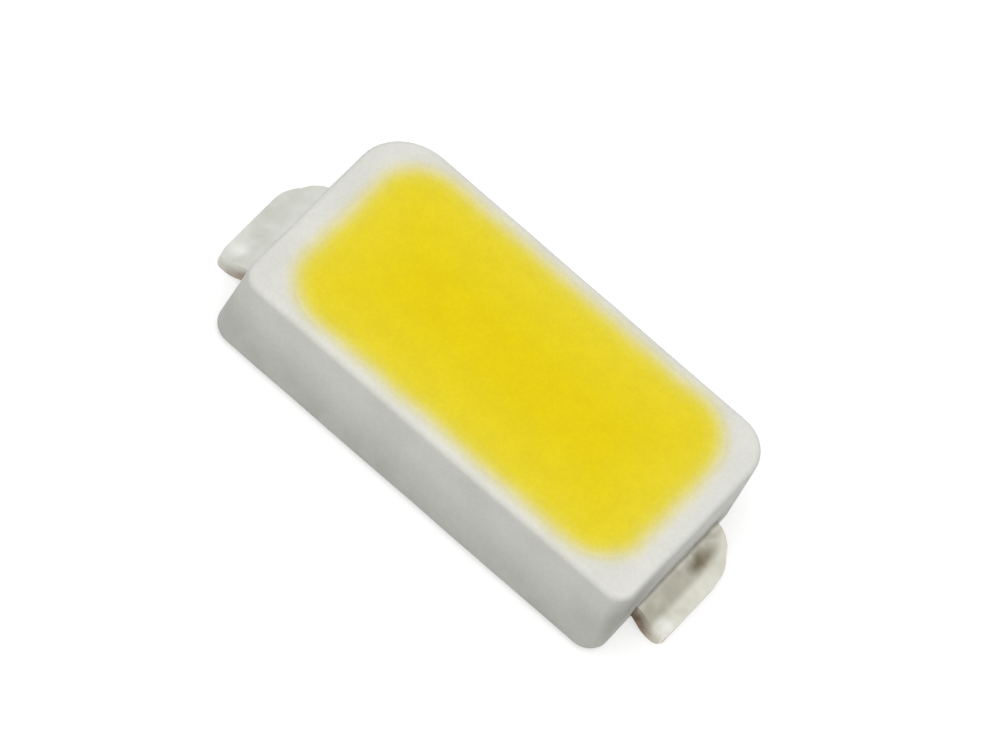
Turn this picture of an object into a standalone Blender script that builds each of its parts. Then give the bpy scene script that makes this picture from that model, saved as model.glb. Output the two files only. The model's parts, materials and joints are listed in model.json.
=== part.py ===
"""Surface-mount white LED of the 3014 size class, with the pieces that it holds inside.

Units are metres and +Z is up. +X runs along the package towards the anode lead, and +Y across it.
The origin is on the board surface, under the middle of the package.
"""

import math

import bmesh
import bpy

MM = 0.001

# Clearance between pieces that touch in the real part
FIT = 0.004 * MM
# Vertices of one piece closer than this are the same vertex
WELD_DISTANCE = 0.00001 * MM
# How far a cutter runs past the face that it opens
CUT_PAST = 0.1 * MM

# Moulded housing
HOUSING_LENGTH = 2.59 * MM
HOUSING_WIDTH = 1.40 * MM
HOUSING_TOP = 0.56 * MM
HOUSING_STANDOFF = 0.01 * MM
FRONT_CORNER_RADIUS = 0.13 * MM
BACK_CORNER_RADIUS = 0.23 * MM
MARKED_CORNER_RADIUS = 0.32 * MM
HOUSING_DRAFT = math.radians(1.5)
HOUSING_EDGE_ROUNDING = 0.018 * MM

# Reflector cavity, measured at its mouth
RIM_SIDE_WIDTH = 0.085 * MM
RIM_END_WIDTH = 0.16 * MM
CAVITY_LEAN = math.radians(25.0)
CAVITY_MOUTH_RADIUS = 0.30 * MM
CAVITY_FLOOR_RADIUS = 0.12 * MM

# Lead frame, one stamped and bent strip in two halves
FRAME_THICKNESS = 0.10 * MM
FRAME_GAP = 0.24 * MM
FRAME_GAP_X = 0.47 * MM
PAD_WIDTH = 1.00 * MM
PAD_END_MARGIN = 0.27 * MM
PAD_CORNER_RADIUS = 0.05 * MM
TAB_WIDTH = 0.72 * MM
TAB_REACH = 0.205 * MM
TAB_FRONT_TIP_RADIUS = 0.05 * MM
TAB_BACK_TIP_RADIUS = 0.25 * MM
TAB_LIFT = 0.06 * MM
TAB_FOOT = 0.09 * MM
BEND_RUN = 0.10 * MM
BEND_SETBACK = 0.018 * MM

# Chip and what holds and connects it
CHIP_LENGTH = 0.56 * MM
CHIP_WIDTH = 0.26 * MM
CHIP_HEIGHT = 0.12 * MM
CHIP_X = -0.16 * MM
CHIP_CORNER_RADIUS = 0.008 * MM
ADHESIVE_MARGIN = 0.025 * MM
ADHESIVE_THICKNESS = 0.012 * MM
ADHESIVE_CORNER_RADIUS = 0.03 * MM
ELECTRODE_DIAMETER = 0.09 * MM
ELECTRODE_THICKNESS = 0.004 * MM
ELECTRODE_INSET = 0.085 * MM
WIRE_DIAMETER = 0.025 * MM
BALL_DIAMETER = 0.066 * MM
BALL_HEIGHT = 0.018 * MM
# Share of the ball's width that its foot and top have, and of its height that each takes to swell
BALL_WAIST = 0.8
BALL_SHOULDER = 0.25
WIRE_LOOP_PULL = 0.15 * MM
WIRE_CREST_SHARE = 0.4
STITCH_FLATNESS = 0.5
STITCH_LENGTH = 0.03 * MM
# Share of the way to the cavity's wall, from the chip or from the frame's gap, where a wire lands
STITCH_SHARE = 0.4

# Silicone fill
FILL_DROP = 0.006 * MM

# Smoothness of round shapes
ARC_SEGMENTS = 8
ROUNDING_SEGMENTS = 3
BEND_SEGMENTS = 5
DISC_SEGMENTS = 24
WIRE_STEPS = 16
WIRE_BEVEL_RESOLUTION = 2
SHARP_EDGE = math.radians(50)
FOLD_EDGE = math.radians(5)
SMOOTH_UP_TO = math.radians(35)

# Linear colours, with roughness and metallic value
FINISHES = {
    "white_plastic": ((0.74, 0.74, 0.69), 0.55, 0.0),
    "phosphor_silicone": ((0.80, 0.63, 0.03), 0.40, 0.0),
    "plated_copper": ((0.72, 0.71, 0.66), 0.28, 1.0),
    "sapphire_chip": ((0.30, 0.42, 0.52), 0.15, 0.0),
    "die_glue": ((0.75, 0.75, 0.70), 0.50, 0.0),
    "gold": ((0.95, 0.66, 0.25), 0.22, 1.0),
}


def clear_scene():
    for obj in list(bpy.data.objects):
        bpy.data.objects.remove(obj, do_unlink=True)


def new_collection(name):
    collection = bpy.data.collections.new(name)
    bpy.context.scene.collection.children.link(collection)
    return collection


def make_material(name):
    colour, roughness, metallic = FINISHES[name]
    made = bpy.data.materials.new(name)
    made.use_nodes = True
    shader = made.node_tree.nodes["Principled BSDF"]
    shader.inputs["Base Color"].default_value = (*colour, 1.0)
    shader.inputs["Roughness"].default_value = roughness
    shader.inputs["Metallic"].default_value = metallic
    made.diffuse_color = (*colour, 1.0)
    return made


def rounded_outline(corners):
    """Points of a closed outline, anticlockwise, from corners given as (x, y, radius)."""
    points = []
    count = len(corners)
    for index, (x, y, radius) in enumerate(corners):
        before = corners[index - 1]
        after = corners[(index + 1) % count]
        in_angle = math.atan2(y - before[1], x - before[0])
        out_angle = math.atan2(after[1] - y, after[0] - x)
        turn = math.remainder(out_angle - in_angle, 2 * math.pi)
        setback = radius * math.tan(abs(turn) / 2)
        side = math.copysign(1.0, turn)
        centre_x = x - setback * math.cos(in_angle) - side * radius * math.sin(in_angle)
        centre_y = y - setback * math.sin(in_angle) + side * radius * math.cos(in_angle)
        for step in range(ARC_SEGMENTS + 1):
            heading = in_angle + turn * step / ARC_SEGMENTS
            points.append((
                centre_x + side * radius * math.sin(heading),
                centre_y - side * radius * math.cos(heading),
            ))
    return points


def rectangle_outline(length, width, radii, centre_x=0.0):
    """A rounded rectangle. radii run anticlockwise from the +X, +Y corner."""
    half_x = length / 2
    half_y = width / 2
    signs = ((1, 1), (-1, 1), (-1, -1), (1, -1))
    corners = []
    for (sign_x, sign_y), radius in zip(signs, radii):
        corners.append((centre_x + sign_x * half_x, sign_y * half_y, radius))
    return rounded_outline(corners)


def link_mesh(name, bm, collection):
    mesh = bpy.data.meshes.new(name)
    bm.to_mesh(mesh)
    bm.free()
    obj = bpy.data.objects.new(name, mesh)
    collection.objects.link(obj)
    return obj


def loft(name, sections, collection):
    """A closed solid through sections given bottom to top as (outline, z), with equal point counts."""
    bm = bmesh.new()
    rings = []
    for outline, height in sections:
        rings.append([bm.verts.new((x, y, height)) for x, y in outline])
    for lower, upper in zip(rings, rings[1:]):
        for index in range(len(lower)):
            beside = (index + 1) % len(lower)
            bm.faces.new((lower[index], lower[beside], upper[beside], upper[index]))
    bm.faces.new(rings[0][::-1])
    bm.faces.new(rings[-1])
    return link_mesh(name, bm, collection)


def curve_to_mesh(curve_object, collection):
    """A mesh object in the place of a curve object, with the curve's caps welded to its sides."""
    bpy.context.view_layer.update()
    graph = bpy.context.evaluated_depsgraph_get()
    mesh = bpy.data.meshes.new_from_object(curve_object.evaluated_get(graph))
    bm = bmesh.new()
    bm.from_mesh(mesh)
    bmesh.ops.remove_doubles(bm, verts=bm.verts, dist=WELD_DISTANCE)
    bm.to_mesh(mesh)
    bm.free()
    name = curve_object.name
    matrix = curve_object.matrix_world.copy()
    bpy.data.objects.remove(curve_object, do_unlink=True)
    obj = bpy.data.objects.new(name, mesh)
    obj.matrix_world = matrix
    collection.objects.link(obj)
    return obj


def plate(name, outline, bottom, top, collection):
    """A flat piece with this outline, between two heights."""
    curve = bpy.data.curves.new(name, "CURVE")
    curve.dimensions = "2D"
    curve.fill_mode = "BOTH"
    curve.extrude = (top - bottom) / 2
    spline = curve.splines.new("POLY")
    spline.points.add(len(outline) - 1)
    for point, (x, y) in zip(spline.points, outline):
        point.co = (x, y, 0.0, 1.0)
    spline.use_cyclic_u = True
    obj = bpy.data.objects.new(name, curve)
    obj.location.z = (bottom + top) / 2
    collection.objects.link(obj)
    return curve_to_mesh(obj, collection)


def cut(target, cutter, operation="DIFFERENCE"):
    modifier = target.modifiers.new(f"{operation.lower()}_{cutter.name}", "BOOLEAN")
    modifier.operation = operation
    modifier.object = cutter
    cutter.hide_render = True
    cutter.display_type = "WIRE"


def round_edges(obj, width, segments, angle):
    modifier = obj.modifiers.new("rounding", "BEVEL")
    modifier.width = width
    modifier.segments = segments
    modifier.limit_method = "ANGLE"
    modifier.angle_limit = angle
    modifier.use_clamp_overlap = False


def cavity_depth():
    return HOUSING_TOP - FRAME_THICKNESS


def cavity_outline(height, inset):
    """Section of the cavity at this height, drawn in by inset."""
    depth = HOUSING_TOP - height
    share = depth / cavity_depth()
    radius = CAVITY_MOUTH_RADIUS + (CAVITY_FLOOR_RADIUS - CAVITY_MOUTH_RADIUS) * share
    lean_in = depth * math.tan(CAVITY_LEAN) + inset
    length = HOUSING_LENGTH - 2 * (RIM_END_WIDTH + lean_in)
    width = HOUSING_WIDTH - 2 * (RIM_SIDE_WIDTH + lean_in)
    return rectangle_outline(length, width, [radius - inset] * 4)


def housing_outline(height):
    """Section of the housing at this height. Its sides draft inwards towards the top."""
    draft_in = (height - HOUSING_STANDOFF) * math.tan(HOUSING_DRAFT)
    radii = (BACK_CORNER_RADIUS, MARKED_CORNER_RADIUS, FRONT_CORNER_RADIUS, FRONT_CORNER_RADIUS)
    length = HOUSING_LENGTH - 2 * draft_in
    width = HOUSING_WIDTH - 2 * draft_in
    return rectangle_outline(length, width, [radius - draft_in for radius in radii])


def frame_half_outline(side, grow):
    """Plan of one lead-frame half: a wide pad under the cavity and a narrower tab out of the end."""
    inner = FRAME_GAP_X + side * FRAME_GAP / 2 - side * grow
    shoulder = side * (HOUSING_LENGTH / 2 - PAD_END_MARGIN + grow)
    tip = side * (HOUSING_LENGTH / 2 + TAB_REACH + grow)
    half_pad = PAD_WIDTH / 2 + grow
    half_tab = TAB_WIDTH / 2 + grow
    back = [
        (inner, half_pad, PAD_CORNER_RADIUS + grow),
        (shoulder, half_pad, PAD_CORNER_RADIUS + grow),
        (shoulder, half_tab, PAD_CORNER_RADIUS - grow),
    ]
    front = [(x, -y, radius) for x, y, radius in reversed(back)]
    back_tip = (tip, half_tab, TAB_BACK_TIP_RADIUS + grow)
    front_tip = (tip, -half_tab, TAB_FRONT_TIP_RADIUS + grow)
    corners = back + [back_tip, front_tip] + front
    if side > 0:
        corners.reverse()
    return rounded_outline(corners)


def frame_fold_points(side):
    """Middle line of the bent strip, from past the gap to past the tip, as (x, z)."""
    low = FRAME_THICKNESS / 2
    high = low + TAB_LIFT
    shoulder = HOUSING_LENGTH / 2 - PAD_END_MARGIN
    foot = HOUSING_LENGTH / 2 + TAB_REACH - TAB_FOOT
    half_line = [
        (shoulder, low),
        (shoulder + BEND_RUN, high),
        (foot - BEND_RUN, high),
        (foot, low),
        (foot + TAB_FOOT + CUT_PAST, low),
    ]
    start = (FRAME_GAP_X - side * (FRAME_GAP / 2 + CUT_PAST), low)
    return [start] + [(side * x, z) for x, z in half_line]


def frame_half(name, side, grow, collection, cutters):
    """One half of the lead frame: a strip folded along its bends, then trimmed to its plan."""
    bm = bmesh.new()
    half_width = PAD_WIDTH / 2 + CUT_PAST
    rows = []
    for x, z in frame_fold_points(side):
        rows.append((bm.verts.new((x, -half_width, z)), bm.verts.new((x, half_width, z))))
    for near, far in zip(rows, rows[1:]):
        corners = (near[0], far[0], far[1], near[1])
        bm.faces.new(corners if side > 0 else corners[::-1])
    strip = link_mesh(name, bm, collection)
    round_edges(strip, BEND_SETBACK, BEND_SEGMENTS, FOLD_EDGE)
    thicken = strip.modifiers.new("thickness", "SOLIDIFY")
    thicken.thickness = FRAME_THICKNESS + 2 * grow
    thicken.offset = 0.0
    thicken.use_even_offset = True
    top = FRAME_THICKNESS + TAB_LIFT + CUT_PAST
    plan = plate(f"{name}_plan", frame_half_outline(side, grow), -CUT_PAST, top, cutters)
    cut(strip, plan, "INTERSECT")
    return strip


def make_housing(collection, cutters):
    heights = (HOUSING_STANDOFF, HOUSING_TOP)
    sections = [(housing_outline(height), height) for height in heights]
    housing = loft("housing", sections, collection)
    round_edges(housing, HOUSING_EDGE_ROUNDING, ROUNDING_SEGMENTS, SHARP_EDGE)
    levels = (FRAME_THICKNESS, HOUSING_TOP + CUT_PAST)
    sections = [(cavity_outline(level, 0.0), level) for level in levels]
    cut(housing, loft("cavity", sections, cutters))
    for label, side in (("cathode", -1), ("anode", 1)):
        imprint = frame_half(f"{label}_imprint", side, FIT, cutters, cutters)
        cut(housing, imprint)
    return housing


def chip_seat():
    """Height of the chip's underside."""
    return FRAME_THICKNESS + FIT + ADHESIVE_THICKNESS + FIT


def electrode_x(side):
    return CHIP_X + side * (CHIP_LENGTH / 2 - ELECTRODE_INSET)


def electrode_seat():
    return chip_seat() + CHIP_HEIGHT + FIT


def make_adhesive(name, grow, collection):
    length = CHIP_LENGTH + 2 * (ADHESIVE_MARGIN + grow)
    width = CHIP_WIDTH + 2 * (ADHESIVE_MARGIN + grow)
    radii = [ADHESIVE_CORNER_RADIUS + grow] * 4
    outline = rectangle_outline(length, width, radii, CHIP_X)
    bottom = FRAME_THICKNESS + FIT - grow
    top = FRAME_THICKNESS + FIT + ADHESIVE_THICKNESS + grow
    return plate(name, outline, bottom, top, collection)


def make_chip(name, grow, collection):
    length = CHIP_LENGTH + 2 * grow
    width = CHIP_WIDTH + 2 * grow
    radii = [CHIP_CORNER_RADIUS + grow] * 4
    outline = rectangle_outline(length, width, radii, CHIP_X)
    return plate(name, outline, chip_seat() - grow, chip_seat() + CHIP_HEIGHT + grow, collection)


def make_electrode(name, side, grow, collection):
    bm = bmesh.new()
    radius = ELECTRODE_DIAMETER / 2 + grow
    depth = ELECTRODE_THICKNESS + 2 * grow
    bmesh.ops.create_cone(
        bm, cap_ends=True, segments=DISC_SEGMENTS, radius1=radius, radius2=radius, depth=depth
    )
    electrode = link_mesh(name, bm, collection)
    middle = electrode_seat() + ELECTRODE_THICKNESS / 2
    electrode.location = (electrode_x(side), 0.0, middle)
    return electrode


def stitch_x(side):
    """Where a bond wire lands on its own half of the lead frame."""
    start = FRAME_GAP_X + FRAME_GAP / 2 if side > 0 else CHIP_X - CHIP_LENGTH / 2
    wall = side * (HOUSING_LENGTH / 2 - RIM_END_WIDTH - cavity_depth() * math.tan(CAVITY_LEAN))
    return start + STITCH_SHARE * (wall - start)


def wire_path(side, grow):
    """A bond wire's points as (x, z, radius): the ball, the loop and the flattened stitch."""
    thin = WIRE_DIAMETER / 2
    ball = BALL_DIAMETER / 2
    foot_z = electrode_seat() + ELECTRODE_THICKNESS + FIT
    start_x = electrode_x(side)
    points = [
        (start_x, foot_z - 2 * grow, BALL_WAIST * ball),
        (start_x, foot_z + BALL_HEIGHT * BALL_SHOULDER, ball),
        (start_x, foot_z + BALL_HEIGHT * (1 - BALL_SHOULDER), ball),
        (start_x, foot_z + BALL_HEIGHT, BALL_WAIST * ball),
    ]
    neck_z = foot_z + BALL_HEIGHT + thin
    floor_z = FRAME_THICKNESS + FIT
    end_x = stitch_x(side)
    crest_x = start_x + WIRE_CREST_SHARE * (end_x - start_x)
    knots = (
        (start_x, neck_z),
        (start_x, neck_z + WIRE_LOOP_PULL),
        (crest_x, neck_z + WIRE_LOOP_PULL),
        (end_x, floor_z + thin),
    )
    for step in range(WIRE_STEPS + 1):
        along = step / WIRE_STEPS
        weights = (
            (1 - along) ** 3,
            3 * along * (1 - along) ** 2,
            3 * along**2 * (1 - along),
            along**3,
        )
        x = sum(weight * knot[0] for weight, knot in zip(weights, knots))
        z = sum(weight * knot[1] for weight, knot in zip(weights, knots))
        points.append((x, z, thin))
    flat = STITCH_FLATNESS * thin
    points.append((end_x + side * (STITCH_LENGTH + grow), floor_z + flat, flat))
    return points


def make_wire(name, side, grow, collection):
    curve = bpy.data.curves.new(name, "CURVE")
    curve.dimensions = "3D"
    curve.bevel_depth = WIRE_DIAMETER / 2
    curve.bevel_resolution = WIRE_BEVEL_RESOLUTION
    curve.use_fill_caps = True
    spline = curve.splines.new("POLY")
    path = wire_path(side, grow)
    spline.points.add(len(path) - 1)
    for point, (x, z, radius) in zip(spline.points, path):
        point.co = (x, 0.0, z, 1.0)
        point.radius = (radius + grow) / curve.bevel_depth
    obj = bpy.data.objects.new(name, curve)
    collection.objects.link(obj)
    return curve_to_mesh(obj, collection)


def make_encapsulant(collection, cutters):
    levels = (FRAME_THICKNESS + FIT, HOUSING_TOP - FILL_DROP)
    sections = [(cavity_outline(level, FIT), level) for level in levels]
    fill = loft("encapsulant", sections, collection)
    cut(fill, make_adhesive("adhesive_space", FIT, cutters))
    cut(fill, make_chip("chip_space", FIT, cutters))
    for letter, side in (("n", -1), ("p", 1)):
        cut(fill, make_electrode(f"{letter}_electrode_space", side, FIT, cutters))
        cut(fill, make_wire(f"{letter}_wire_space", side, FIT, cutters))
    return fill


def finish(obj, material, parent):
    obj.data.materials.clear()
    obj.data.materials.append(material)
    obj.data.shade_smooth()
    obj.data.set_sharp_from_angle(angle=SMOOTH_UP_TO)
    obj.parent = parent


def build():
    clear_scene()
    parts = new_collection("smd_led")
    cutters = new_collection("smd_led_cutters")
    origin = bpy.data.objects.new("smd_led_origin", None)
    origin.empty_display_size = HOUSING_WIDTH
    parts.objects.link(origin)
    materials = {name: make_material(name) for name in FINISHES}

    finish(make_housing(parts, cutters), materials["white_plastic"], origin)
    for label, side in (("cathode", -1), ("anode", 1)):
        lead = frame_half(f"{label}_lead", side, 0.0, parts, cutters)
        finish(lead, materials["plated_copper"], origin)
    finish(make_adhesive("die_adhesive", 0.0, parts), materials["die_glue"], origin)
    finish(make_chip("led_chip", 0.0, parts), materials["sapphire_chip"], origin)
    for letter, side in (("n", -1), ("p", 1)):
        electrode = make_electrode(f"{letter}_electrode", side, 0.0, parts)
        finish(electrode, materials["gold"], origin)
        wire = make_wire(f"{letter}_bond_wire", side, 0.0, parts)
        finish(wire, materials["gold"], origin)
    finish(make_encapsulant(parts, cutters), materials["phosphor_silicone"], origin)


build()
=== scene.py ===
"""Looks of a surface-mount white LED: its fine meshes, materials, light and camera.

Lengths are metres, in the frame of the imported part: +X runs towards the anode lead and +Z up.
"""

import json
import math

import bmesh
import bpy
from mathutils import Matrix, Vector, noise

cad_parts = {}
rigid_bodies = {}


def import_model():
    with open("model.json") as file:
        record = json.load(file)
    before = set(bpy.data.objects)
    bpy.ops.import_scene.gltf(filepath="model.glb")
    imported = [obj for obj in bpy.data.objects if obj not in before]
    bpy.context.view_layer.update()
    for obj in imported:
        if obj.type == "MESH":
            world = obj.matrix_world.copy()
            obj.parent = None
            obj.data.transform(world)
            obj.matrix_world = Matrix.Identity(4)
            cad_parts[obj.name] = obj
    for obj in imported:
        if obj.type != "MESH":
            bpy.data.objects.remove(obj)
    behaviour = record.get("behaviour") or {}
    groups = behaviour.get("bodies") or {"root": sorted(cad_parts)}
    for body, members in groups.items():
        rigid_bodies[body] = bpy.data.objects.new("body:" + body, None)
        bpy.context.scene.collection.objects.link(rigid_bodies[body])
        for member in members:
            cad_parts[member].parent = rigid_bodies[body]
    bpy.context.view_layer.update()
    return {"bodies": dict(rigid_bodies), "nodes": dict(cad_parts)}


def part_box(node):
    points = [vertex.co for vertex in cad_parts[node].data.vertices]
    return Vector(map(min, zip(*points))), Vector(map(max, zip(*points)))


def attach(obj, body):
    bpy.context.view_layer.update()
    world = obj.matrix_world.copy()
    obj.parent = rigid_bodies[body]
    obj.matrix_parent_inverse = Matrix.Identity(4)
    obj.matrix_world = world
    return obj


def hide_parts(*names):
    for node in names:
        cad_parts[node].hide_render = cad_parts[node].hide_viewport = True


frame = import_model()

MM = 0.001

# Sizes read from the frame
HOUSING_LOW, HOUSING_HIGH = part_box("housing")
HOUSING_LENGTH = HOUSING_HIGH.x - HOUSING_LOW.x
HOUSING_WIDTH = HOUSING_HIGH.y - HOUSING_LOW.y
LEAD_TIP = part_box("anode_lead")[1].x
LEAD_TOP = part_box("anode_lead")[1].z
PAD_HALF_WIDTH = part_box("anode_lead")[1].y

# Direction of each lead along X, and the end of its pad by the package's middle
CATHODE_SIDE = -1
ANODE_SIDE = 1
PAD_ENDS = {CATHODE_SIDE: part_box("cathode_lead")[1].x, ANODE_SIDE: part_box("anode_lead")[0].x}

# Pieces under the silicone, which keep the shapes of their solids
INNER_PIECES = (
    "led_chip", "die_adhesive", "n_electrode", "p_electrode", "n_bond_wire", "p_bond_wire"
)

# Clearance between pieces that touch in the real part
FIT = 0.004 * MM

# Housing
FRONT_CORNER_RADIUS = 0.13 * MM
BACK_CORNER_RADIUS = 0.23 * MM
MARKED_CORNER_RADIUS = 0.32 * MM
DRAFT = math.radians(1.5)
EDGE_ROUNDING = 0.034 * MM
FOOT_ROUNDING = 0.045 * MM
RIM_SIDE_WIDTH = 0.085 * MM
RIM_END_WIDTH = 0.16 * MM
CAVITY_LEAN = math.radians(25.0)
MOUTH_RADIUS = 0.30 * MM
CAVITY_FLOOR_RADIUS = 0.12 * MM
# The silicone is cast against the cavity's wall, so this gap is too small to see
CAST_GAP = 0.0001 * MM

# Lead frame
FRAME_THICKNESS = 0.10 * MM
PAD_END_MARGIN = 0.27 * MM
PAD_CORNER_RADIUS = 0.05 * MM
TAB_HALF_WIDTH = 0.36 * MM
FRONT_TIP_RADIUS = 0.05 * MM
BACK_TIP_RADIUS = 0.25 * MM
TAB_FOOT = 0.09 * MM
BEND_RUN = 0.10 * MM
# Radius of the strip's middle, over half its thickness
BEND_RADIUS = 0.110 * MM
DIE_ROLL = 0.010 * MM

# Unevenness of moulded, cast and stamped surfaces
MOULD_UNEVENNESS = 0.0022 * MM
MOULD_UNEVENNESS_SPAN = 0.30 * MM
MOULD_SEED = 1
FILL_DIP = 0.006 * MM
FILL_UNEVENNESS = 0.0015 * MM
FILL_UNEVENNESS_SPAN = 0.45 * MM
FILL_SEED = 2
STAMP_UNEVENNESS = 0.0015 * MM
STAMP_UNEVENNESS_SPAN = 0.16 * MM
STAMP_SEED = 3
# Where each axis reads the noise: its shift for each seed, and a start of its own
NOISE_SHIFTS = ((17.3, 0.0), (5.1, 31.7), (9.7, 67.9))

# Fineness of the meshes
CORNER_STEPS = 12
LONG_EDGE_STEPS = 56
SHORT_EDGE_STEPS = 28
ROUNDING_STEPS = 6
SIDE_STEPS = 14
RIM_STEPS = 5
WALL_STEPS = 6
FILL_TOP_STEPS = 26
# Above 1, the rings over the fill lie closer together by the rim
FILL_TOP_SPACING = 1.6
# Width of the ridge in the fill's middle, as a share of the housing's
RIDGE_SHARE = 0.04
BEND_STEPS = 26
FOOT_STEPS = 6
LEAD_CROSS_STEPS = 24
LEAD_EDGE_STEPS = 4
SMOOTH_UP_TO = math.radians(35)
# Points closer than this are one, in a lead's mesh and in a solid from the frame
LEAD_WELD = 0.0004 * MM
SOLID_WELD = 1e-5 * MM
# Points closer than this to a cut lie on it
CUT_TOLERANCE = 1e-6 * MM

# Parts of the noise's range that become a full change. Most of the noise lies within them
NOISE_SPAN = (0.3, 0.7)
NARROW_SPAN = (0.35, 0.65)
WIDE_SPAN = (0.25, 0.75)
LOW_SPAN = (0.3, 0.6)

# Materials take lengths and places in mm, and textures of surfaces have their depth in metres

# Colour of the top face by distance inside the cavity's mouth
YELLOW_REACH = (-0.09, 0.55)
YELLOW_STOPS = (
    (-0.085, (0.765, 0.765, 0.715)),
    (-0.045, (0.768, 0.762, 0.680)),
    (0.000, (0.785, 0.740, 0.440)),
    (0.038, (0.800, 0.710, 0.200)),
    (0.075, (0.815, 0.692, 0.068)),
    (0.130, (0.825, 0.680, 0.028)),
    (0.250, (0.830, 0.674, 0.018)),
    (0.500, (0.832, 0.648, 0.007)),
)
YELLOW_RAGGEDNESS = 0.04
RAGGED_CELLS = 4.0

# Soft marks, each as (centre, radius, strength), with outlines that wander by noise
# On the -Y side: two small brown stains, then two broad marks that darken the side towards its ends
SIDE_STAINS_AND_DARK_ENDS = (
    ((-1.144, -0.69, 0.26), 0.11, 0.17),
    ((-1.034, -0.69, 0.24), 0.09, 0.14),
    ((-1.22, -0.66, 0.16), 0.32, 0.30),
    ((1.16, -0.69, 0.20), 0.30, 0.22),
)
# Painted shade on the +X end wall, darkest towards -Y
END_WALL_SHADE_MARKS = (
    ((1.29, -0.52, 0.32), 0.42, 0.58),
)
# Dark marks on the anode's strip by the package: tarnish and painted reflection of the shaded end
# wall
TARNISH_AND_REFLECTION_MARKS = (
    ((1.357, 0.115, 0.135), 0.086, 1.00),
    ((1.325, 0.27, 0.15), 0.050, 0.45),
)
TARNISH_AND_REFLECTION_STRETCH = 2.8
# Painted glints at the front corners of the two feet
GLINT_MARKS = (
    ((-1.445, -0.28, 0.10), 0.08, 0.60),
    ((1.465, -0.30, 0.10), 0.09, 0.70),
)
MARK_WANDERING = 0.06
MARK_CELLS = 9.0

# Plastic and silicone
WHITE = (0.765, 0.765, 0.715)
# Colour of the stains, and of the painted shade on the plastic
STAIN_AND_SHADE = (0.22, 0.21, 0.19)
# Heights between which the side's white gives way to the colours of the top face
TOP_HEIGHTS = (0.46, 0.56)
# Heights between which painted shade darkens the walls towards their foot, from none at the first
# to full at the second
WALL_FOOT_SHADE_HEIGHTS = (0.42, 0.06)
END_WALL_FACING = (0.25, 0.95)
# Painted shade of the crevice over the leads, which starts and is full this far past the wall, the
# tab and its top
LEAD_SHADE_AT_WALL = (-0.04, -0.015)
LEAD_SHADE_BESIDE = (0.08, -0.02)
LEAD_SHADE_ABOVE = (0.12, 0.01)
LEAD_SHADE_STRENGTH = 0.55
PLASTIC_TEXTURE = 0.0015 * MM
SILICONE_TEXTURE = 0.001 * MM

# Plated strip
CLEAN_SILVER = {
    "pale": (0.75, 0.755, 0.71),
    "dull": (0.60, 0.61, 0.54),
    "tarnish_and_reflection": 0.06,
    "copper": 0.75,
    "root_shade": 0.0,
}
# The anode's plating: a strong band of tarnish and painted reflection, and painted shade by the
# package
TARNISHED_AND_SHADED_SILVER = {
    "pale": (0.765, 0.76, 0.67),
    "dull": (0.64, 0.635, 0.54),
    "tarnish_and_reflection": 0.48,
    "copper": 0.95,
    "root_shade": 0.5,
}
# Colour of the tarnish and of the painted dark reflection
TARNISH_AND_REFLECTION = (0.175, 0.150, 0.095)
# Colour of the painted glints
GLINT_COLOUR = (0.93, 0.93, 0.90)
# Colour of the painted shade where the strip leaves the package
ROOT_SHADE = (0.12, 0.12, 0.12)
COPPER = ((0.30, 0.215, 0.15), (0.13, 0.085, 0.06))
COPPER_EXTRA_ROUGHNESS = 0.2
# How far a face on a cut side leans towards Y, or at the tip towards X
CUT_SIDE_FACING = (0.45, 0.85)
CUT_TIP_FACING = (0.80, 0.95)
# Share of bare copper, by depth below the strip's top and by distance from the package's middle
COPPER_BY_DEPTH = (0.0, 0.07, 0.30, 1.0)
COPPER_BY_REACH = (1.46, 1.33, 0.35, 1.0)
# Tarnish and painted dark reflection of the shaded end wall along the lower bend, which starts and
# is full this far past the foot
BAND_INNER_EDGE = (-0.13, -0.08)
BAND_OUTER_EDGE = (0.035, -0.02)
# The band weakens between these places on Y, to this share
BAND_WEAKENING = (0.15, 0.27)
BAND_WEAK_SHARE = 0.2
# Painted shade by the package, which starts and is full this far past the wall
ROOT_SHADE_OUTSIDE = (0.018, 0.0)
ROOT_SHADE_INSIDE = (-0.05, -0.01)
STREAK_CELLS = (8.0, 60.0, 60.0)
SILVER_TEXTURE = 0.0012 * MM

# Pieces under the silicone, each in two colours
SAPPHIRE = ((0.30, 0.42, 0.52), (0.22, 0.33, 0.45))
GLUE = ((0.75, 0.75, 0.70), (0.66, 0.66, 0.60))
GOLD = ((0.95, 0.66, 0.25), (0.85, 0.55, 0.18))
MINERAL_TEXTURE = 0.0006 * MM

# Stage
FLOOR_REACH = 60 * MM
# Keeps the floor clear of the pads' slightly uneven undersides
FLOOR_CLEARANCE = 0.002 * MM
FLOOR_COLOUR = (0.62, 0.62, 0.62, 1.0)
FLOOR_GLOW = 0.5
# A ray that meets the floor within this length came from the part's underside
SHORT_RAY = 0.15 * MM
WORLD_LEVEL = 0.51
KEY_LEVEL = 0.61
KEY_AZIMUTH = math.radians(-15)
KEY_ELEVATION = math.radians(78)
KEY_DISTANCE = 40 * MM
KEY_SIZE = 44 * MM

# Camera, fitted to the photograph
CAMERA_AZIMUTH = math.radians(9.13)
CAMERA_ELEVATION = math.radians(55.47)
CAMERA_ROLL = math.radians(33.35)
CAMERA_DISTANCE = 60.0 * MM
CAMERA_LENS = 425.3
CAMERA_SENSOR = 36.0
CAMERA_TARGET = Vector((-0.0287, 0.0721, 0.3221)) * MM
CAMERA_NEAR = 1 * MM
CAMERA_FAR = 500 * MM


# Outlines and meshes

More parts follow.
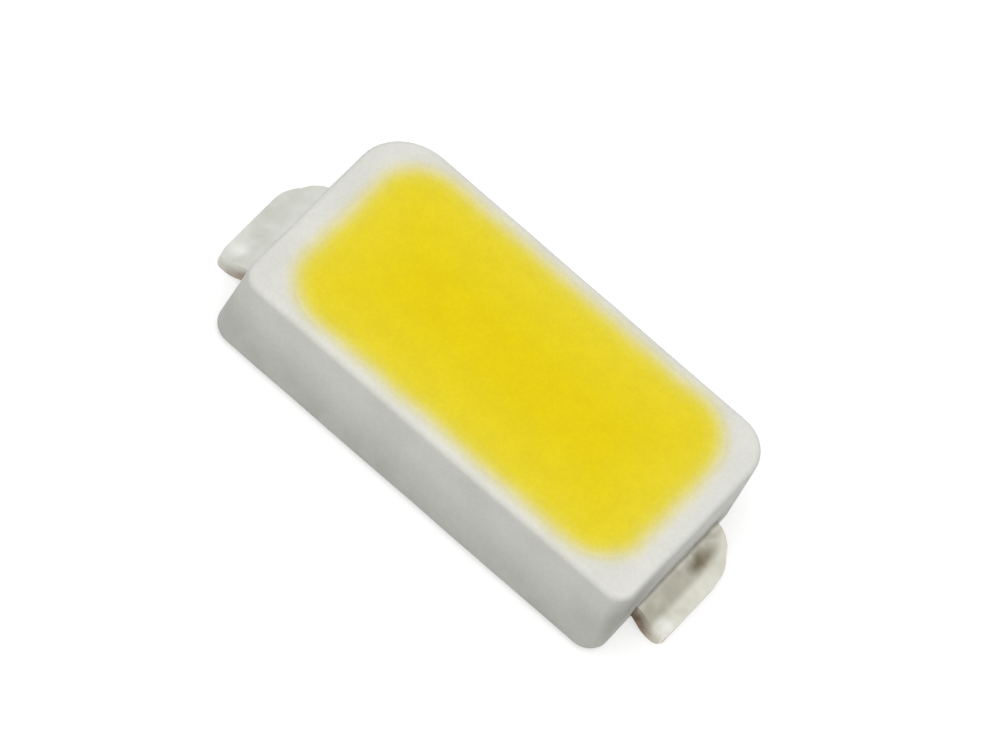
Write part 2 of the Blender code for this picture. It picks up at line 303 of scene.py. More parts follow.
def rounded_rectangle(length, width, radii):
    """Points of a rounded rectangle, anticlockwise. radii start at the +X, +Y corner."""
    arcs = []
    signs = ((1, 1), (-1, 1), (-1, -1), (1, -1))
    for index, ((sign_x, sign_y), radius) in enumerate(zip(signs, radii)):
        centre_x = sign_x * (length / 2 - radius)
        centre_y = sign_y * (width / 2 - radius)
        arc = []
        for step in range(CORNER_STEPS + 1):
            angle = math.pi / 2 * (index + step / CORNER_STEPS)
            x = centre_x + radius * math.cos(angle)
            y = centre_y + radius * math.sin(angle)
            arc.append(Vector((x, y)))
        arcs.append(arc)
    points = []
    for index, arc in enumerate(arcs):
        points += arc
        end = arcs[(index + 1) % len(arcs)][0]
        steps = SHORT_EDGE_STEPS if index % 2 else LONG_EDGE_STEPS
        points += [arc[-1].lerp(end, step / steps) for step in range(1, steps)]
    return points


def rounded_polygon(corners):
    """Points of a closed outline, anticlockwise, from corners given as (x, y, radius)."""
    points = []
    for index, (x, y, radius) in enumerate(corners):
        corner = Vector((x, y))
        before = (Vector(corners[index - 1][:2]) - corner).normalized()
        after = (Vector(corners[(index + 1) % len(corners)][:2]) - corner).normalized()
        half_angle = before.angle(after) / 2
        centre = corner + (before + after).normalized() * radius / math.sin(half_angle)
        setback = radius / math.tan(half_angle)
        start = corner + before * setback - centre
        turn = start.angle_signed(corner + after * setback - centre)
        for step in range(CORNER_STEPS + 1):
            points.append(centre + Matrix.Rotation(-turn * step / CORNER_STEPS, 2) @ start)
    return points


def between(outline, other, share):
    """The outline that lies this share of the way from one outline to another."""
    return [a.lerp(b, share) for a, b in zip(outline, other)]


def quarter_arc():
    """Steps along a quarter of a circle of radius 1, from (0, 0) to (1, 1)."""
    for step in range(ROUNDING_STEPS + 1):
        angle = math.pi / 2 * step / ROUNDING_STEPS
        yield 1 - math.cos(angle), math.sin(angle)


def unevenness(point, span, amplitude, seed):
    """A smooth offset at this place, from noise that is the same on each run."""
    place = Vector(point) / span
    shifts = [seed * for_each_seed + start for for_each_seed, start in NOISE_SHIFTS]
    waves = [noise.noise(place + Vector((shift, shift, shift))) for shift in shifts]
    return Vector(waves) * amplitude


def mesh_object(name, bm):
    mesh = bpy.data.meshes.new(name)
    bmesh.ops.recalc_face_normals(bm, faces=bm.faces)
    bm.to_mesh(mesh)
    bm.free()
    obj = bpy.data.objects.new(name, mesh)
    bpy.context.scene.collection.objects.link(obj)
    return obj


def closed_skin(rings):
    """A closed skin through rings given as (outline, height), and the two faces that cap it."""
    bm = bmesh.new()
    loops = []
    for outline, height in rings:
        loops.append([bm.verts.new((point.x, point.y, height)) for point in outline])
    for lower, upper in zip(loops, loops[1:]):
        for index in range(len(lower)):
            beside = (index + 1) % len(lower)
            bm.faces.new((lower[index], lower[beside], upper[beside], upper[index]))
    caps = (bm.faces.new(loops[0][::-1]), bm.faces.new(loops[-1]))
    return bm, caps


def closed_copy(node):
    """A copy of a solid from the frame, with its triangles joined into one closed mesh."""
    bm = bmesh.new()
    bm.from_mesh(node.data)
    bmesh.ops.remove_doubles(bm, verts=bm.verts, dist=SOLID_WELD)
    return mesh_object(f"space_of_{node.name}", bm)


def cut_out(obj, cutters):
    """Takes the cutters' spaces out of the object's mesh, and removes the cutters."""
    for cutter in cutters:
        modifier = obj.modifiers.new(cutter.name, "BOOLEAN")
        modifier.operation = "DIFFERENCE"
        modifier.solver = "MANIFOLD"
        modifier.object = cutter
    bpy.context.view_layer.update()
    graph = bpy.context.evaluated_depsgraph_get()
    mesh = bpy.data.meshes.new_from_object(obj.evaluated_get(graph))
    obj.modifiers.clear()
    obj.data = mesh
    for cutter in cutters:
        bpy.data.objects.remove(cutter)


def shade(obj, material):
    """Gives the piece its material, and normals that keep large faces flat by small roundings."""
    obj.data.materials.clear()
    obj.data.materials.append(material)
    obj.data.shade_smooth()
    obj.data.set_sharp_from_angle(angle=SMOOTH_UP_TO)
    weighted = obj.modifiers.new("even_normals", "WEIGHTED_NORMAL")
    weighted.keep_sharp = True


# Housing

def outer_outline(height, inset):
    """Outline of the housing's outside at this height, drawn in by its draft and by inset."""
    draft_in = (height - HOUSING_LOW.z) * math.tan(DRAFT) + inset
    radii = (BACK_CORNER_RADIUS, MARKED_CORNER_RADIUS, FRONT_CORNER_RADIUS, FRONT_CORNER_RADIUS)
    length = HOUSING_LENGTH - 2 * draft_in
    width = HOUSING_WIDTH - 2 * draft_in
    return rounded_rectangle(length, width, [radius - draft_in for radius in radii])


def cavity_outline(height, inset):
    """Outline of the cavity at this height, drawn in by its lean and by inset."""
    depth = HOUSING_HIGH.z - height
    share = depth / (HOUSING_HIGH.z - FRAME_THICKNESS)
    radius = MOUTH_RADIUS + (CAVITY_FLOOR_RADIUS - MOUTH_RADIUS) * share - inset
    lean_in = depth * math.tan(CAVITY_LEAN) + inset
    length = HOUSING_LENGTH - 2 * (RIM_END_WIDTH + lean_in)
    width = HOUSING_WIDTH - 2 * (RIM_SIDE_WIDTH + lean_in)
    return rounded_rectangle(length, width, [radius] * 4)


def housing_rings():
    """From the foot up the outside, over the rim and down the cavity's wall to the frame."""
    bottom = HOUSING_LOW.z
    top = HOUSING_HIGH.z
    rings = []
    for rise, outward in quarter_arc():
        height = bottom + FOOT_ROUNDING * rise
        rings.append((outer_outline(height, FOOT_ROUNDING * (1 - outward)), height))
    side = top - bottom - FOOT_ROUNDING - EDGE_ROUNDING
    for step in range(1, SIDE_STEPS):
        height = bottom + FOOT_ROUNDING + side * step / SIDE_STEPS
        rings.append((outer_outline(height, 0.0), height))
    for inward, rise in quarter_arc():
        height = top - EDGE_ROUNDING * (1 - rise)
        rings.append((outer_outline(height, EDGE_ROUNDING * inward), height))
    crown = rings[-1][0]
    mouth = cavity_outline(top, 0.0)
    rings += [(between(crown, mouth, step / RIM_STEPS), top) for step in range(1, RIM_STEPS)]
    for step in range(WALL_STEPS + 1):
        height = top - (top - FRAME_THICKNESS) * step / WALL_STEPS
        rings.append((cavity_outline(height, 0.0), height))
    return rings


def uneven_mould(solid):
    """Moves the vertices by the mould's unevenness, which the cast silicone takes over."""
    for vertex in solid.data.vertices:
        vertex.co += unevenness(vertex.co, MOULD_UNEVENNESS_SPAN, MOULD_UNEVENNESS, MOULD_SEED)


def make_housing(imprints):
    shell, _ = closed_skin(housing_rings())
    housing = mesh_object("housing_shell", shell)
    uneven_mould(housing)
    cut_out(housing, imprints)
    return housing


# Silicone fill

def fill_rings():
    """From the frame up the cavity's wall, then over the top to a narrow ridge in the middle."""
    bottom = FRAME_THICKNESS + FIT
    brim = HOUSING_HIGH.z - CAST_GAP
    rings = []
    for step in range(WALL_STEPS + 1):
        height = bottom + (brim - bottom) * step / WALL_STEPS
        rings.append((cavity_outline(height, CAST_GAP), height))
    mouth = rings[-1][0]
    ridge_width = HOUSING_WIDTH * RIDGE_SHARE
    ridge_length = HOUSING_LENGTH - HOUSING_WIDTH
    ridge = rounded_rectangle(ridge_length, ridge_width, [ridge_width / 3] * 4)
    for step in range(1, FILL_TOP_STEPS + 1):
        share = (step / FILL_TOP_STEPS) ** FILL_TOP_SPACING
        dip = FILL_DIP * (1 - (1 - share) ** 3)
        rings.append((between(mouth, ridge, share), brim - dip))
    return rings


def make_fill(spaces):
    body, _ = closed_skin(fill_rings())
    fill = mesh_object("phosphor_fill", body)
    for vertex in fill.data.vertices:
        dip = HOUSING_HIGH.z - vertex.co.z
        if dip < 2 * FILL_DIP:
            wave = unevenness(vertex.co, FILL_UNEVENNESS_SPAN, FILL_UNEVENNESS, FILL_SEED)
            vertex.co.z += wave.z * min(1.0, dip / FILL_DIP)
    uneven_mould(fill)
    cut_out(fill, spaces)
    return fill


# Lead frame

def lead_outline(side, grow):
    """Outline of a lead's blank, anticlockwise: its wide pad, then its tab with rounded corners."""
    inner = PAD_ENDS[side] - side * grow
    shoulder = side * (HOUSING_LENGTH / 2 - PAD_END_MARGIN + grow)
    tip = side * (LEAD_TIP + grow)
    back = [
        (inner, PAD_HALF_WIDTH + grow, PAD_CORNER_RADIUS + grow),
        (shoulder, PAD_HALF_WIDTH + grow, PAD_CORNER_RADIUS + grow),
        (shoulder, TAB_HALF_WIDTH + grow, PAD_CORNER_RADIUS - grow),
    ]
    front = [(x, -y, radius) for x, y, radius in reversed(back)]
    back_tip = (tip, TAB_HALF_WIDTH + grow, BACK_TIP_RADIUS + grow)
    front_tip = (tip, -TAB_HALF_WIDTH - grow, FRONT_TIP_RADIUS + grow)
    corners = back + [back_tip, front_tip] + front
    if side == ANODE_SIDE:
        corners.reverse()
    return rounded_polygon(corners)


def bend_middles():
    """Distances from the package's middle to the middles of the upper and the lower bend."""
    return HOUSING_LENGTH / 2 - PAD_END_MARGIN + BEND_RUN / 2, LEAD_TIP - TAB_FOOT - BEND_RUN / 2


def bend_angle():
    return math.atan((LEAD_TOP - FRAME_THICKNESS) / BEND_RUN)


def bend_reach():
    """Half the length of a bend: a straight slope between two arcs of BEND_RADIUS."""
    return BEND_RUN / 2 + BEND_RADIUS * math.tan(bend_angle() / 2)


def fold(x):
    """Rise and slope of the strip's middle at this distance from the package's middle."""
    lift = LEAD_TOP - FRAME_THICKNESS
    upper, lower = bend_middles()
    uphill = x < (upper + lower) / 2
    ahead = x - upper if uphill else lower - x
    into_arc = abs(ahead) - bend_reach() + BEND_RADIUS * math.sin(bend_angle())
    if into_arc < 0:
        half_rise = ahead * math.tan(bend_angle())
        slope = math.tan(bend_angle())
    elif abs(ahead) < bend_reach():
        left = bend_reach() - abs(ahead)
        level = math.sqrt(BEND_RADIUS ** 2 - left ** 2)
        half_rise = math.copysign(lift / 2 - BEND_RADIUS + level, ahead)
        slope = left / level
    else:
        half_rise = math.copysign(lift / 2, ahead)
        slope = 0.0
    return lift / 2 + half_rise, slope if uphill else -slope


def stamped_blank(side, grow, edge):
    """A flat blank, half above and half below z = 0, with its edges rolled over by edge."""
    outline = lead_outline(side, grow)
    half = FRAME_THICKNESS / 2 + grow
    bm, caps = closed_skin([(outline, -half), (outline, half)])
    if edge:
        rims = [line for cap in caps for line in cap.edges]
        bmesh.ops.bevel(
            bm, geom=rims, offset=edge, segments=LEAD_EDGE_STEPS, profile=0.5, affect="EDGES",
            clamp_overlap=False
        )
    return bm


def cut_for_bending(bm, side):
    """Adds edges across the blank, close together at the bends and foot, and others along it."""
    reach = bend_reach()
    places = []
    for middle in bend_middles():
        places += [middle + reach * (2 * step / BEND_STEPS - 1) for step in range(BEND_STEPS + 1)]
    places += [LEAD_TIP - TAB_FOOT * step / FOOT_STEPS for step in range(1, FOOT_STEPS - 1)]
    planes = [((side * x, 0, 0), (1, 0, 0)) for x in places]
    for step in range(1, LEAD_CROSS_STEPS):
        y = PAD_HALF_WIDTH * (2 * step / LEAD_CROSS_STEPS - 1)
        planes.append(((0, y, 0), (0, 1, 0)))
    for point, normal in planes:
        bmesh.ops.bisect_plane(
            bm, geom=bm.verts[:] + bm.edges[:] + bm.faces[:], dist=CUT_TOLERANCE,
            plane_co=point, plane_no=normal
        )
    bmesh.ops.remove_doubles(bm, verts=bm.verts, dist=LEAD_WELD)


def make_lead(name, side, grow, edge):
    """A stamped blank, folded along its two bends. grow makes it larger all round."""
    bm = stamped_blank(side, grow, edge)
    cut_for_bending(bm, side)
    for vertex in bm.verts:
        rise, slope = fold(abs(vertex.co.x))
        steepness = math.hypot(1, slope)
        offset = vertex.co.z
        vertex.co.x -= side * offset * slope / steepness
        vertex.co.z = FRAME_THICKNESS / 2 + rise + offset / steepness
    return mesh_object(name, bm)


def uneven_strip(strip):
    """Gives a stamped strip the slight waves of rolled and bent metal."""
    for vertex in strip.data.vertices:
        wave = unevenness(vertex.co, STAMP_UNEVENNESS_SPAN, STAMP_UNEVENNESS, STAMP_SEED)
        vertex.co.z += wave.z


# Shader nodes

def add_node(tree, kind, inputs=None, **settings):
    """A new node, with each input linked where it is given a socket and set where a value."""
    made = tree.nodes.new(kind)
    for name, value in settings.items():
        setattr(made, name, value)
    for key, value in (inputs or {}).items():
        if isinstance(value, bpy.types.NodeSocket):
            tree.links.new(value, made.inputs[key])
        else:
            made.inputs[key].default_value = value
    return made


def calculate(tree, operation, *values):
    inputs = dict(enumerate(values))
    return add_node(tree, "ShaderNodeMath", inputs, operation=operation).outputs[0]


def calculate_vector(tree, operation, *values, output="Vector"):
    inputs = dict(enumerate(values))
    return add_node(tree, "ShaderNodeVectorMath", inputs, operation=operation).outputs[output]


def scale_vector(tree, vector, factor):
    inputs = {0: vector, "Scale": factor}
    return add_node(tree, "ShaderNodeVectorMath", inputs, operation="SCALE").outputs["Vector"]


def largest(tree, values):
    total = values[0]
    for value in values[1:]:
        total = calculate(tree, "MAXIMUM", total, value)
    return total


def product(tree, values):
    total = values[0]
    for value in values[1:]:
        total = calculate(tree, "MULTIPLY", total, value)
    return total


def split(tree, vector):
    """The vector's three parts, by the names X, Y and Z."""
    return add_node(tree, "ShaderNodeSeparateXYZ", {0: vector}).outputs


def position_in_mm(tree):
    coordinates = add_node(tree, "ShaderNodeTexCoord").outputs["Object"]
    return scale_vector(tree, coordinates, 1 / MM)


def facing(tree):
    """The three parts of the direction that the surface faces."""
    return split(tree, add_node(tree, "ShaderNodeTexCoord").outputs["Normal"])


def noise_at(tree, place, cells, detail=2.0, roughness=0.5, output="Fac"):
    """Noise around a half, with this many cells to the millimetre."""
    inputs = {"Vector": place, "Scale": cells, "Detail": detail, "Roughness": roughness}
    return add_node(tree, "ShaderNodeTexNoise", inputs).outputs[output]


def remap(tree, value, low, high, to_low=0.0, to_high=1.0, smooth=True):
    inputs = {
        "Value": value, "From Min": low, "From Max": high, "To Min": to_low, "To Max": to_high
    }
    kind = "SMOOTHSTEP" if smooth else "LINEAR"
    return add_node(tree, "ShaderNodeMapRange", inputs, interpolation_type=kind).outputs["Result"]


def varied(tree, place, cells, detail, values=(0.0, 1.0), span=NOISE_SPAN, roughness=0.5):
    """A number that noise moves between two values. span is the part of the noise that does it."""
    cloud = noise_at(tree, place, cells, detail, roughness)
    return remap(tree, cloud, *span, *values)


def fade(tree, value, edge, margins, strength=1.0):
    """From 0 at the first margin past an edge to the full strength at the second."""
    start, full = margins
    return remap(tree, value, edge + start, edge + full, 0.0, strength)


def mix_colours(tree, share, first, second):
    """A mix by a share's socket of two colours, each of them a socket or three numbers."""
    made = add_node(tree, "ShaderNodeMix", data_type="RGBA")
    tree.links.new(share, made.inputs[0])
    for socket, value in ((made.inputs[6], first), (made.inputs[7], second)):
        if isinstance(value, bpy.types.NodeSocket):
            tree.links.new(value, socket)
        else:
            socket.default_value = (*value, 1.0)
    return made.outputs[2]


def colour_ramp(tree, value, stops):
    made = add_node(tree, "ShaderNodeValToRGB", {"Fac": value})
    elements = made.color_ramp.elements
    while len(elements) < len(stops):
        elements.new(1.0)
    for element, (position, colour) in zip(elements, stops):
        element.position = position
        element.color = (*colour, 1.0)
    return made.outputs["Color"]


def soft_marks(tree, place, marks, stretch=1.0):
    """Share of marks that fade out from their centres, with wandering outlines.

    The marks are stretch times as long along Y as across it.
    """
    cloud = noise_at(tree, place, MARK_CELLS, output="Color")
    offset = calculate_vector(tree, "SUBTRACT", cloud, (0.5, 0.5, 0.5))
    reach = (MARK_WANDERING, MARK_WANDERING, MARK_WANDERING)
    wandering = calculate_vector(tree, "MULTIPLY_ADD", offset, reach, place)
    squeezed = calculate_vector(tree, "MULTIPLY", wandering, (1.0, 1 / stretch, 1.0))
    shares = []
    for (x, y, z), radius, strength in marks:
        middle = (x, y / stretch, z)
        distance = calculate_vector(tree, "DISTANCE", squeezed, middle, output="Value")
        shares.append(remap(tree, distance, radius, 0.0, 0.0, strength))
    return largest(tree, shares)


def new_material(name, **constants):
    """A material, its node tree and its shader, with constants set on the shader's own sockets."""
    material = bpy.data.materials.new(name)
    material.use_nodes = True
    shader = material.node_tree.nodes["Principled BSDF"]
    for key, value in constants.items():
        shader.inputs[key.replace("_", " ")].default_value = value
    return material, material.node_tree, shader


def set_surface(tree, shader, colour, roughness, texture, depth):
    """Links the shader's colour and roughness, and a bump of this depth from the texture."""
    inputs = {"Height": texture, "Strength": 1.0, "Distance": depth}
    normal = add_node(tree, "ShaderNodeBump", inputs).outputs["Normal"]
    tree.links.new(colour, shader.inputs["Base Color"])
    tree.links.new(roughness, shader.inputs["Roughness"])
    tree.links.new(normal, shader.inputs["Normal"])


# Plastic and silicone

def inside_mouth(tree, place):
    """Distance inside the cavity's mouth, a rounded rectangle. It is negative on the rim."""
    half_length = HOUSING_LENGTH / 2 - RIM_END_WIDTH
    half_width = HOUSING_WIDTH / 2 - RIM_SIDE_WIDTH
    straight = ((half_length - MOUTH_RADIUS) / MM, (half_width - MOUTH_RADIUS) / MM, 0.0)
    flat = calculate_vector(tree, "MULTIPLY", place, (1.0, 1.0, 0.0))
    folded = calculate_vector(tree, "ABSOLUTE", flat)
    past = calculate_vector(tree, "SUBTRACT", folded, straight)
    outside = calculate_vector(tree, "MAXIMUM", past, (0.0, 0.0, 0.0))
    reach = calculate_vector(tree, "LENGTH", outside, output="Value")
    parts = split(tree, past)
    deeper = calculate(tree, "MINIMUM", largest(tree, [parts["X"], parts["Y"]]), 0.0)
    signed = calculate(tree, "SUBTRACT", calculate(tree, "ADD", reach, deeper), MOUTH_RADIUS / MM)
    return calculate(tree, "MULTIPLY", signed, -1.0)


def yellow_by_depth(tree, place):
    """Colour of the top face, from the white rim to the deep yellow over the chip."""
    ragged = calculate(tree, "SUBTRACT", noise_at(tree, place, RAGGED_CELLS), 0.5)
    inside = inside_mouth(tree, place)
    distance = calculate(tree, "MULTIPLY_ADD", ragged, YELLOW_RAGGEDNESS, inside)
    low, high = YELLOW_REACH
    share = remap(tree, distance, low, high, smooth=False)
    stops = [((position - low) / (high - low), colour) for position, colour in YELLOW_STOPS]
    return colour_ramp(tree, share, stops)


def shade_over_lead(tree, place):
    """Share of painted shade on the end walls, just above the tabs."""
    parts = split(tree, place)
    out = calculate(tree, "ABSOLUTE", parts["X"])
    aside = calculate(tree, "ABSOLUTE", parts["Y"])
    return product(tree, [
        fade(tree, out, HOUSING_LENGTH / 2 / MM, LEAD_SHADE_AT_WALL),
        fade(tree, aside, TAB_HALF_WIDTH / MM, LEAD_SHADE_BESIDE),
        fade(tree, parts["Z"], LEAD_TOP / MM, LEAD_SHADE_ABOVE, LEAD_SHADE_STRENGTH),
        varied(tree, place, cells=8.0, detail=3.0, values=(0.5, 1.0), span=LOW_SPAN),
    ])


def stains_and_shade_on_plastic(tree, place):
    """Share of stains and painted shade: painted shade towards the foot of the walls, over the
    leads and on the +X end wall, and a few soft marks on the -Y side.
    """
    height = split(tree, place)["Z"]
    patchy = varied(tree, place, cells=6.0, detail=4.0, values=(0.19, 0.35))
    # Painted shade that darkens the walls towards their foot
    low_down = product(tree, [remap(tree, height, *WALL_FOOT_SHADE_HEIGHTS), patchy])
    # Painted shade on the +X end wall
    on_end = remap(tree, facing(tree)["X"], *END_WALL_FACING)
    end_wall_shade = product(tree, [on_end, soft_marks(tree, place, END_WALL_SHADE_MARKS)])
    side_stains_and_dark_ends = soft_marks(tree, place, SIDE_STAINS_AND_DARK_ENDS)
    return largest(tree, [low_down, shade_over_lead(tree, place), end_wall_shade, side_stains_and_dark_ends])


def plastic_material():
    material, tree, shader = new_material(
        "moulded_white_plastic",
        Specular_IOR_Level=0.2,
        Subsurface_Weight=0.2,
        Subsurface_Scale=0.015 * MM,
        Subsurface_Radius=(1.0, 1.0, 0.9),
    )
    place = position_in_mm(tree)
    on_top = remap(tree, split(tree, place)["Z"], *TOP_HEIGHTS)
    base = mix_colours(tree, on_top, WHITE, yellow_by_depth(tree, place))
    cloudy = varied(tree, place, cells=3.0, detail=4.0, values=(0.95, 1.03))
    grain = varied(tree, place, cells=45.0, detail=2.0, values=(0.98, 1.02))
    toned = scale_vector(tree, base, product(tree, [cloudy, grain]))
    # Stains and painted shade on the plastic
    stained_and_shaded = mix_colours(tree, stains_and_shade_on_plastic(tree, place), toned, STAIN_AND_SHADE)
    satin = varied(tree, place, cells=14.0, detail=3.0, values=(0.52, 0.70))
    texture = noise_at(tree, place, cells=60.0, detail=3.0, roughness=0.6)
    set_surface(tree, shader, stained_and_shaded, satin, texture, PLASTIC_TEXTURE)
    return material


def phosphor_material():
    material, tree, shader = new_material("phosphor_in_silicone", Specular_IOR_Level=0.06)
    place = position_in_mm(tree)
    grain = varied(tree, place, cells=55.0, detail=2.0, values=(0.98, 1.02))
    clumps = varied(tree, place, cells=7.0, detail=4.0, values=(0.975, 1.02), roughness=0.6)
    toned = scale_vector(tree, yellow_by_depth(tree, place), product(tree, [grain, clumps]))
    sheen = varied(tree, place, cells=20.0, detail=2.0, values=(0.34, 0.48))
    texture = noise_at(tree, place, cells=70.0, detail=3.0, roughness=0.6)
    set_surface(tree, shader, toned, sheen, texture, SILICONE_TEXTURE)
    return material


# Plated strip. In each function here, out is the distance from the package's middle along X

def cut_sides(tree):
    """Share of the surface that the stamping cut: sides that face along X or Y."""
    parts = facing(tree)
    sideways = remap(tree, calculate(tree, "ABSOLUTE", parts["Y"]), *CUT_SIDE_FACING)
    endways = remap(tree, calculate(tree, "ABSOLUTE", parts["X"]), *CUT_TIP_FACING)
    return largest(tree, [sideways, endways])


def bare_copper_share(tree, place, out):
    """Share of the plating that is worn off: on the cut sides, low down and by the package."""
    lower_bend = bend_middles()[1]
    start = (lower_bend - bend_reach()) / MM
    end = (lower_bend + bend_reach()) / MM
    top = remap(tree, out, start, end, LEAD_TOP / MM, FRAME_THICKNESS / MM)
    depth = calculate(tree, "SUBTRACT", top, split(tree, place)["Z"])
    low_down = remap(tree, depth, *COPPER_BY_DEPTH)
    near_root = remap(tree, out, *COPPER_BY_REACH)
    return product(tree, [cut_sides(tree), low_down, near_root])


def tarnish_and_reflection_share(tree, place, out, strength):
    """Share of tarnish and painted reflection: a patchy dark band along the lower bend, and a few
    dark marks.
    """
    foot = (LEAD_TIP - TAB_FOOT) / MM
    weak = BAND_WEAK_SHARE * strength
    band = product(tree, [
        fade(tree, out, foot, BAND_INNER_EDGE),
        fade(tree, out, foot, BAND_OUTER_EDGE),
        remap(tree, split(tree, place)["Y"], *BAND_WEAKENING, strength, weak),
        varied(tree, place, cells=6.0, detail=3.0, values=(0.6, 1.0), span=LOW_SPAN),
    ])
    return largest(tree, [band, soft_marks(tree, place, TARNISH_AND_REFLECTION_MARKS, TARNISH_AND_REFLECTION_STRETCH)])


def root_shade_share(tree, out, strength):
    """Share of painted shade in a narrow band where the strip leaves the package."""
    wall = HOUSING_LENGTH / 2 / MM
    return product(tree, [
        fade(tree, out, wall, ROOT_SHADE_OUTSIDE, strength),
        fade(tree, out, wall, ROOT_SHADE_INSIDE),
    ])


def silver_material(name, pale, dull, tarnish_and_reflection, copper, root_shade):
    """Silver plating with a dark band of tarnish and painted reflection along the lower bend, a
    painted glint at the foot's front corner, and worn off the cut sides.

    pale and dull are the plating's two colours. The next argument is the strength of the band of
    tarnish and painted reflection, copper is how much of the cut sides is bare, and the last
    argument is the strength of the painted shade where the strip leaves the package.
    """
    material, tree, shader = new_material(name, Metallic=1.0)
    place = position_in_mm(tree)
    out = calculate(tree, "ABSOLUTE", split(tree, place)["X"])
    blotches = varied(tree, place, cells=5.0, detail=3.0, span=WIDE_SPAN)
    silver = mix_colours(tree, blotches, pale, dull)
    # Dark band and marks of tarnish and painted reflection
    plated = mix_colours(tree, tarnish_and_reflection_share(tree, place, out, tarnish_and_reflection), silver, TARNISH_AND_REFLECTION)
    # Painted glint at each foot's front corner
    glinted = mix_colours(tree, soft_marks(tree, place, GLINT_MARKS), plated, GLINT_COLOUR)
    # Painted shade where the strip leaves the package
    shaded = mix_colours(tree, root_shade_share(tree, out, root_shade), glinted, ROOT_SHADE)
    patches = varied(tree, place, cells=11.0, detail=4.0, span=NARROW_SPAN, roughness=0.6)
    bare = product(tree, [bare_copper_share(tree, place, out), copper])
    coloured = mix_colours(tree, bare, shaded, mix_colours(tree, patches, *COPPER))
    satin = varied(tree, place, cells=18.0, detail=3.0, values=(0.30, 0.46))
    roughness = calculate(tree, "MULTIPLY_ADD", bare, COPPER_EXTRA_ROUGHNESS, satin)
    streaks = calculate_vector(tree, "MULTIPLY", place, STREAK_CELLS)
    texture = noise_at(tree, streaks, cells=1.0, detail=3.0)
    set_surface(tree, shader, coloured, roughness, texture, SILVER_TEXTURE)
    return material


# Pieces under the silicone

def mineral_material(name, colours, cells, roughness, **constants):
    """Two colours mixed by noise, with a gloss that varies by a fifth and a fine texture."""
    material, tree, shader = new_material(name, **constants)
    place = position_in_mm(tree)
    patches = varied(tree, place, cells, detail=3.0, span=NARROW_SPAN)
    limits = (roughness * 0.8, roughness * 1.2)
    gloss = varied(tree, place, 2 * cells, detail=2.0, values=limits)
    texture = noise_at(tree, place, 4 * cells, detail=3.0)
    set_surface(tree, shader, mix_colours(tree, patches, *colours), gloss, texture, MINERAL_TEXTURE)
    return material


def finish_inner_pieces():
    sapphire = mineral_material("sapphire", SAPPHIRE, cells=20.0, roughness=0.15)
    glue = mineral_material("die_glue", GLUE, cells=25.0, roughness=0.5)
    gold = mineral_material("gold", GOLD, cells=60.0, roughness=0.22, Metallic=1.0)
    finishes = {"led_chip": sapphire, "die_adhesive": glue}
    for name in INNER_PIECES:
        data = frame["nodes"][name].data
        data.materials.clear()
        data.materials.append(finishes.get(name, gold))


# Stage

def sees_the_room(tree, rays):
    """1 for rays that show the room as it is: from the camera, and in gloss and glass."""
    return largest(tree, [
        rays["Is Camera Ray"],
        rays["Is Glossy Ray"],
        rays["Is Transmission Ray"],
    ])


def under_the_part(tree, rays):
    """1 for a short ray from the part's underside, so that this side is lit in a low view."""
    parts = split(tree, position_in_mm(tree))
    x = calculate(tree, "ABSOLUTE", parts["X"])
    y = calculate(tree, "ABSOLUTE", parts["Y"])
    spaces = ((HOUSING_LENGTH / 2, HOUSING_WIDTH / 2), (LEAD_TIP, TAB_HALF_WIDTH))
    inside = [
        product(tree, [
            calculate(tree, "LESS_THAN", x, half_length / MM),
            calculate(tree, "LESS_THAN", y, half_width / MM),
        ])
        for half_length, half_width in spaces
    ]
    short = calculate(tree, "LESS_THAN", rays["Ray Length"], SHORT_RAY)
    return product(tree, [largest(tree, inside), short])


def floor_material():
    """Pale paper that keeps the soft shadow, and reads white where it is lit.

    From below it is clear.
    """
    material = bpy.data.materials.new("pale_floor")
    material.use_nodes = True
    tree = material.node_tree
    tree.nodes.clear()
    rays = add_node(tree, "ShaderNodeLightPath").outputs
    glow = product(tree, [sees_the_room(tree, rays), FLOOR_GLOW])
    paper = add_node(tree, "ShaderNodeBsdfDiffuse", {"Color": FLOOR_COLOUR}).outputs[0]
    shine = add_node(tree, "ShaderNodeEmission", {"Strength": glow}).outputs[0]
    lit = add_node(tree, "ShaderNodeAddShader", {0: paper, 1: shine}).outputs[0]
    below = add_node(tree, "ShaderNodeNewGeometry").outputs["Backfacing"]
    clear = add_node(tree, "ShaderNodeBsdfTransparent").outputs[0]
    open_share = largest(tree, [below, under_the_part(tree, rays)])
    surface = add_node(tree, "ShaderNodeMixShader", {0: open_share, 1: lit, 2: clear}).outputs[0]
    add_node(tree, "ShaderNodeOutputMaterial", {"Surface": surface})
    return material


def make_floor():
    bm = bmesh.new()
    bmesh.ops.create_grid(bm, x_segments=1, y_segments=1, size=FLOOR_REACH)
    floor = mesh_object("floor", bm)
    floor.location.z = -FLOOR_CLEARANCE
    floor.data.materials.append(floor_material())


def make_world():
    """A white room, which lights the part less strongly than it shows."""
    world = bpy.data.worlds.new("white_studio")
    world.use_nodes = True
    tree = world.node_tree
    rays = add_node(tree, "ShaderNodeLightPath").outputs
    strength = remap(tree, sees_the_room(tree, rays), 0.0, 1.0, WORLD_LEVEL, 1.0, smooth=False)
    background = tree.nodes["Background"]
    background.inputs["Color"].default_value = (1.0, 1.0, 1.0, 1.0)
    tree.links.new(strength, background.inputs["Strength"])
    bpy.context.scene.world = world


def direction_to(azimuth, elevation):
    """Unit vector from the part towards a place. Azimuth 0 is at -Y, and 90 degrees at +X."""
    return Vector((
        math.sin(azimuth) * math.cos(elevation),
        -math.cos(azimuth) * math.cos(elevation),
        math.sin(elevation),
    ))


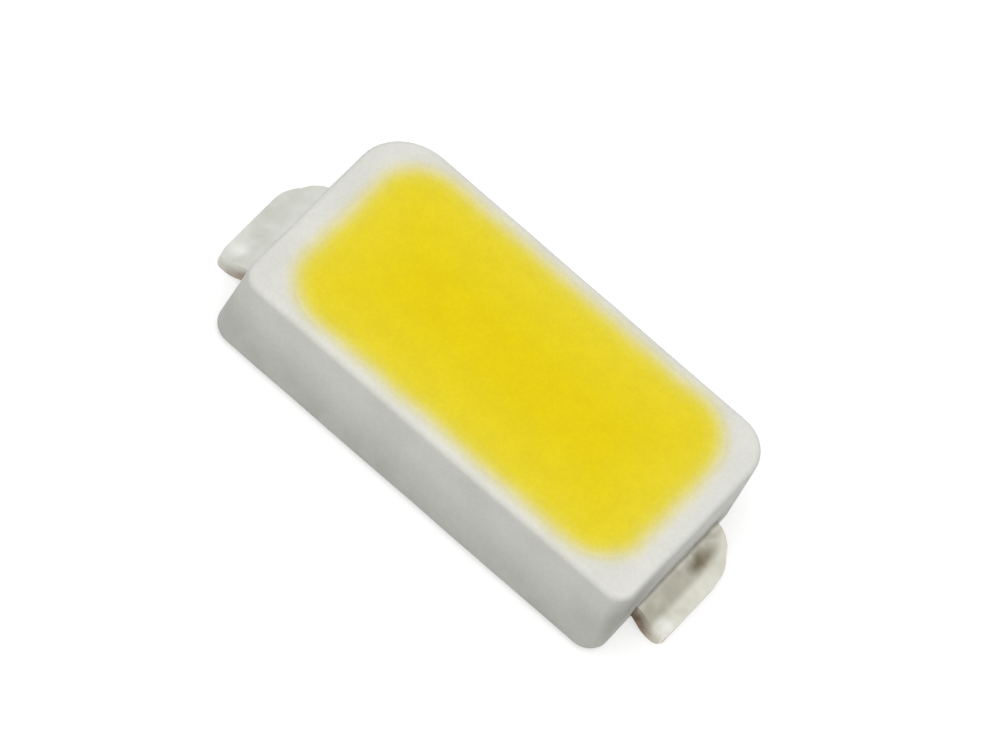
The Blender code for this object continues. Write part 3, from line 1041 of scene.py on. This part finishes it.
def make_key_lamp():
    """An area lamp that lights a surface facing it, at the part, to KEY_LEVEL.

    Gloss shows the white room in place of the lamp, so that no metal face clips.
    """
    lamp = bpy.data.lights.new("key", "AREA")
    lamp.shape = "DISK"
    lamp.size = KEY_SIZE
    lamp.energy = KEY_LEVEL * math.pi**2 * KEY_DISTANCE**2
    obj = bpy.data.objects.new("key", lamp)
    bpy.context.scene.collection.objects.link(obj)
    towards = direction_to(KEY_AZIMUTH, KEY_ELEVATION)
    obj.location = towards * KEY_DISTANCE
    obj.rotation_mode = "QUATERNION"
    obj.rotation_quaternion = towards.to_track_quat("Z", "Y")
    obj.visible_glossy = False


def make_camera():
    data = bpy.data.cameras.new("camera")
    data.lens = CAMERA_LENS
    data.sensor_width = CAMERA_SENSOR
    data.clip_start = CAMERA_NEAR
    data.clip_end = CAMERA_FAR
    camera = bpy.data.objects.new("camera", data)
    bpy.context.scene.collection.objects.link(camera)
    back = direction_to(CAMERA_AZIMUTH, CAMERA_ELEVATION)
    camera.location = CAMERA_TARGET + back * CAMERA_DISTANCE
    level = back.to_track_quat("Z", "Y").to_matrix()
    camera.rotation_euler = (level @ Matrix.Rotation(CAMERA_ROLL, 3, "Z")).to_euler()
    bpy.context.scene.camera = camera


# The whole

def make_imprints():
    """The spaces that the two leads take in the plastic, with the clearance round them."""
    return [make_lead(f"imprint_{side}", side, FIT, 0.0) for side in (CATHODE_SIDE, ANODE_SIDE)]


def make_outer_pieces():
    """Makes the four pieces that show, each in place of its plain solid."""
    root = next(iter(frame["bodies"]))
    housing = make_housing(make_imprints())
    fill = make_fill([closed_copy(frame["nodes"][name]) for name in INNER_PIECES])
    cathode = make_lead("cathode_strip", CATHODE_SIDE, 0.0, DIE_ROLL)
    anode = make_lead("anode_strip", ANODE_SIDE, 0.0, DIE_ROLL)
    for strip in (cathode, anode):
        uneven_strip(strip)
    clean_silver = silver_material("clean_silver_plating", **CLEAN_SILVER)
    tarnished_and_shaded_silver = silver_material("tarnished_and_shaded_silver_plating", **TARNISHED_AND_SHADED_SILVER)
    pieces = (
        (housing, "housing", plastic_material(), "white_plastic"),
        (fill, "encapsulant", phosphor_material(), "phosphor_silicone"),
        (cathode, "cathode_lead", clean_silver, "plated_copper"),
        (anode, "anode_lead", tarnished_and_shaded_silver, "plated_copper"),
    )
    for piece, node, material, slot in pieces:
        shade(piece, material)
        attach(piece, root)
        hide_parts(node)


bpy.context.scene.view_settings.view_transform = "Standard"
make_camera()
make_world()
make_floor()
make_key_lamp()
make_outer_pieces()
finish_inner_pieces()
